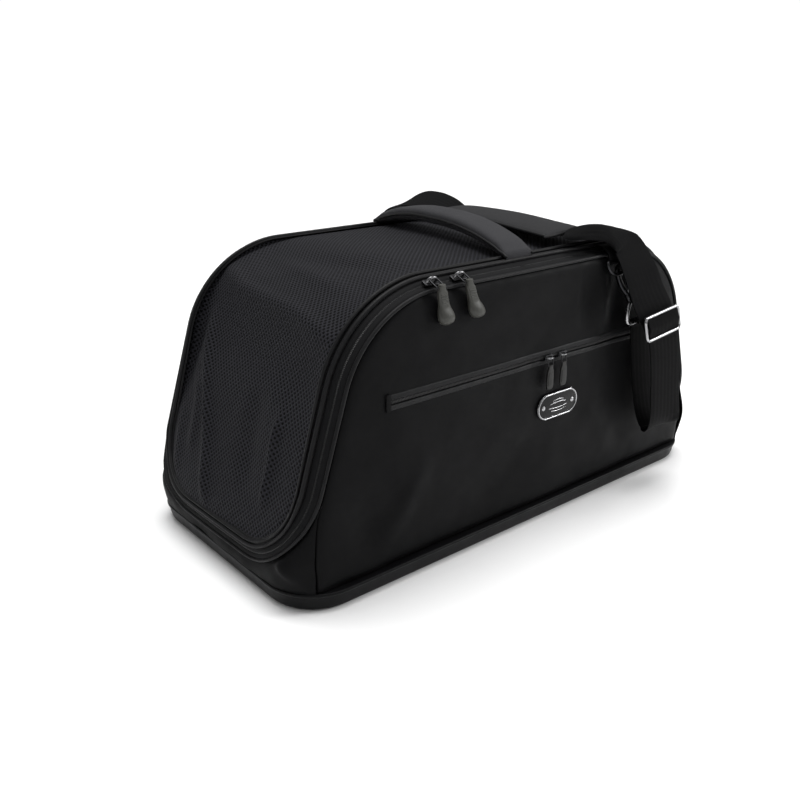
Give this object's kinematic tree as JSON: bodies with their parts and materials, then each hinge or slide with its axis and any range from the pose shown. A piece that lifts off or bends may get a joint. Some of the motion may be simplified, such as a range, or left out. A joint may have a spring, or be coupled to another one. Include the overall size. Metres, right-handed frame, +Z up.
{
  "type": "pet carrier bag",
  "caption": "Soft-sided pet carrier bag on a moulded tray, with zipped mesh ends, arched carry handle and padded shoulder strap.",
  "frame": {"origin": "centre of the tray's flat underside", "axes": "+X along the bag's length, -Y towards the front panel with the pocket, +Z up"},
  "size_m": [0.565, 0.3658, 0.2965],
  "materials": {
    "tray": "moulded black, satin",
    "fabric": "smooth matte black coated cloth",
    "mesh": "black knitted spacer mesh with small holes",
    "tape": "black zip tape and coil",
    "piping": "black bound piping",
    "foam": "grey stiffening foam with lining cloth",
    "lining": "soft dark grey cloth",
    "padding": "charcoal padded stretch cloth",
    "webbing": "black woven webbing",
    "rubber": "moulded dark olive grey",
    "nickel": "polished plated metal",
    "black_metal": "black plated metal",
    "board": "dark stiffening board",
    "steel": "spring steel"
  },
  "bodies": {
    "shell": {"back_d_ring": "nickel", "back_frame_hoop": "steel", "back_handle_anchor": "webbing", "back_liner_board": "foam", "back_panel": "fabric", "back_ring_tab": "webbing", "back_roof_piping": "piping", "back_roof_tape": "tape", "back_snap_hook": "black_metal", "back_strap_eye": "nickel", "badge_plate": "nickel", "badge_rivet_left": "nickel", "badge_rivet_right": "nickel", "base_board": "board", "base_tray": "tray", "bedding_pad": "lining", "front_d_ring": "nickel", "front_frame_hoop": "steel", "front_handle_anchor": "webbing", "front_liner_board": "foam", "front_panel": "fabric", "front_ring_tab": "webbing", "front_roof_piping": "piping", "front_roof_tape": "tape", "front_snap_hook": "black_metal", "front_strap_eye": "nickel", "left_end_gusset": "fabric", "main_zip_chain": "tape", "outer_piping": "piping", "outer_zip_tape": "tape", "pocket_bag": "lining", "pocket_welt": "tape", "pocket_zip_chain": "tape", "right_end_gusset": "fabric", "shoulder_pad": "padding", "strap_front": "webbing", "strap_rear": "webbing", "top_mesh": "mesh"},
    "left_door": {"left_end_door": "mesh", "left_door_tape": "tape", "left_door_piping": "piping"},
    "right_door": {"right_end_door": "mesh", "right_door_tape": "tape", "right_door_piping": "piping"},
    "left_main_slider": {"left_main_slider": "black_metal"},
    "left_main_pull": {"left_main_pull": "rubber", "left_main_pull_ring": "nickel"},
    "right_main_slider": {"right_main_slider": "black_metal"},
    "right_main_pull": {"right_main_pull": "rubber", "right_main_pull_ring": "nickel"},
    "left_pocket_slider": {"left_pocket_slider": "black_metal"},
    "left_pocket_pull": {"left_pocket_pull": "rubber", "left_pocket_pull_ring": "nickel"},
    "right_pocket_slider": {"right_pocket_slider": "black_metal"},
    "right_pocket_pull": {"right_pocket_pull": "rubber", "right_pocket_pull_ring": "nickel"},
    "carry_handle": {"handle_grip": "padding"},
    "strap_adjuster": {"strap_adjuster": "nickel"},
    "front_snap_gate": {"front_snap_gate": "nickel"},
    "back_snap_gate": {"back_snap_gate": "nickel"}
  },
  "joints": [
    {"name": "left_door_hinge", "type": "hinge", "parent": "shell", "child": "left_door", "pos_m": [-0.20437, 0, 0.23437], "axis": [0, 1, 0], "range_deg": [0, 100]},
    {"name": "right_door_hinge", "type": "hinge", "parent": "shell", "child": "right_door", "pos_m": [0.20437, 0, 0.23437], "axis": [0, -1, 0], "range_deg": [0, 100]},
    {"name": "left_main_zip", "type": "hinge", "parent": "shell", "child": "left_main_slider", "pos_m": [-0.128, -0.1258, 0.158], "axis": [0, -1, 0], "range_deg": [0, 70]},
    {"name": "right_main_zip", "type": "slide", "parent": "shell", "child": "right_main_slider", "axis": [1, 0, 0], "range_m": [0, 0.125]},
    {"name": "left_main_pull_hinge", "type": "hinge", "parent": "left_main_slider", "child": "left_main_pull", "pos_m": [-0.13, -0.12783, 0.26686], "axis": [-1, 0, 0], "range_deg": [0, 140]},
    {"name": "right_main_pull_hinge", "type": "hinge", "parent": "right_main_slider", "child": "right_main_pull", "pos_m": [-0.099, -0.12783, 0.26686], "axis": [-1, 0, 0], "range_deg": [0, 140]},
    {"name": "left_pocket_zip", "type": "slide", "parent": "shell", "child": "left_pocket_slider", "axis": [1, 0, 0], "range_m": [-0.17, 0]},
    {"name": "right_pocket_zip", "type": "slide", "parent": "shell", "child": "right_pocket_slider", "axis": [1, 0, 0], "range_m": [0, 0.08]},
    {"name": "left_pocket_pull_hinge", "type": "hinge", "parent": "left_pocket_slider", "child": "left_pocket_pull", "pos_m": [0.009, -0.14149, 0.173], "axis": [-1, 0, 0], "range_deg": [0, 140]},
    {"name": "right_pocket_pull_hinge", "type": "hinge", "parent": "right_pocket_slider", "child": "right_pocket_pull", "pos_m": [0.028, -0.14149, 0.173], "axis": [-1, 0, 0], "range_deg": [0, 140]},
    {"name": "handle_lift", "type": "slide", "parent": "shell", "child": "carry_handle", "axis": [0, 0, 1], "range_m": [0, 0.012]},
    {"name": "adjuster_slide", "type": "slide", "parent": "shell", "child": "strap_adjuster", "axis": [0.3, -0.16, -0.9404], "range_m": [-0.012, 0.012]},
    {"name": "front_gate_hinge", "type": "hinge", "parent": "shell", "child": "front_snap_gate", "pos_m": [0.1186, -0.1442, 0.2214], "axis": [-0.8545, 0, -0.5194], "range_deg": [0, 12], "stiffness_Nm_per_rad": 0.006, "springref_deg": -14.32},
    {"name": "back_gate_hinge", "type": "hinge", "parent": "shell", "child": "back_snap_gate", "pos_m": [-0.1186, 0.1442, 0.2214], "axis": [0.8545, 0, -0.5194], "range_deg": [0, 12], "stiffness_Nm_per_rad": 0.006, "springref_deg": -14.32}
  ]
}
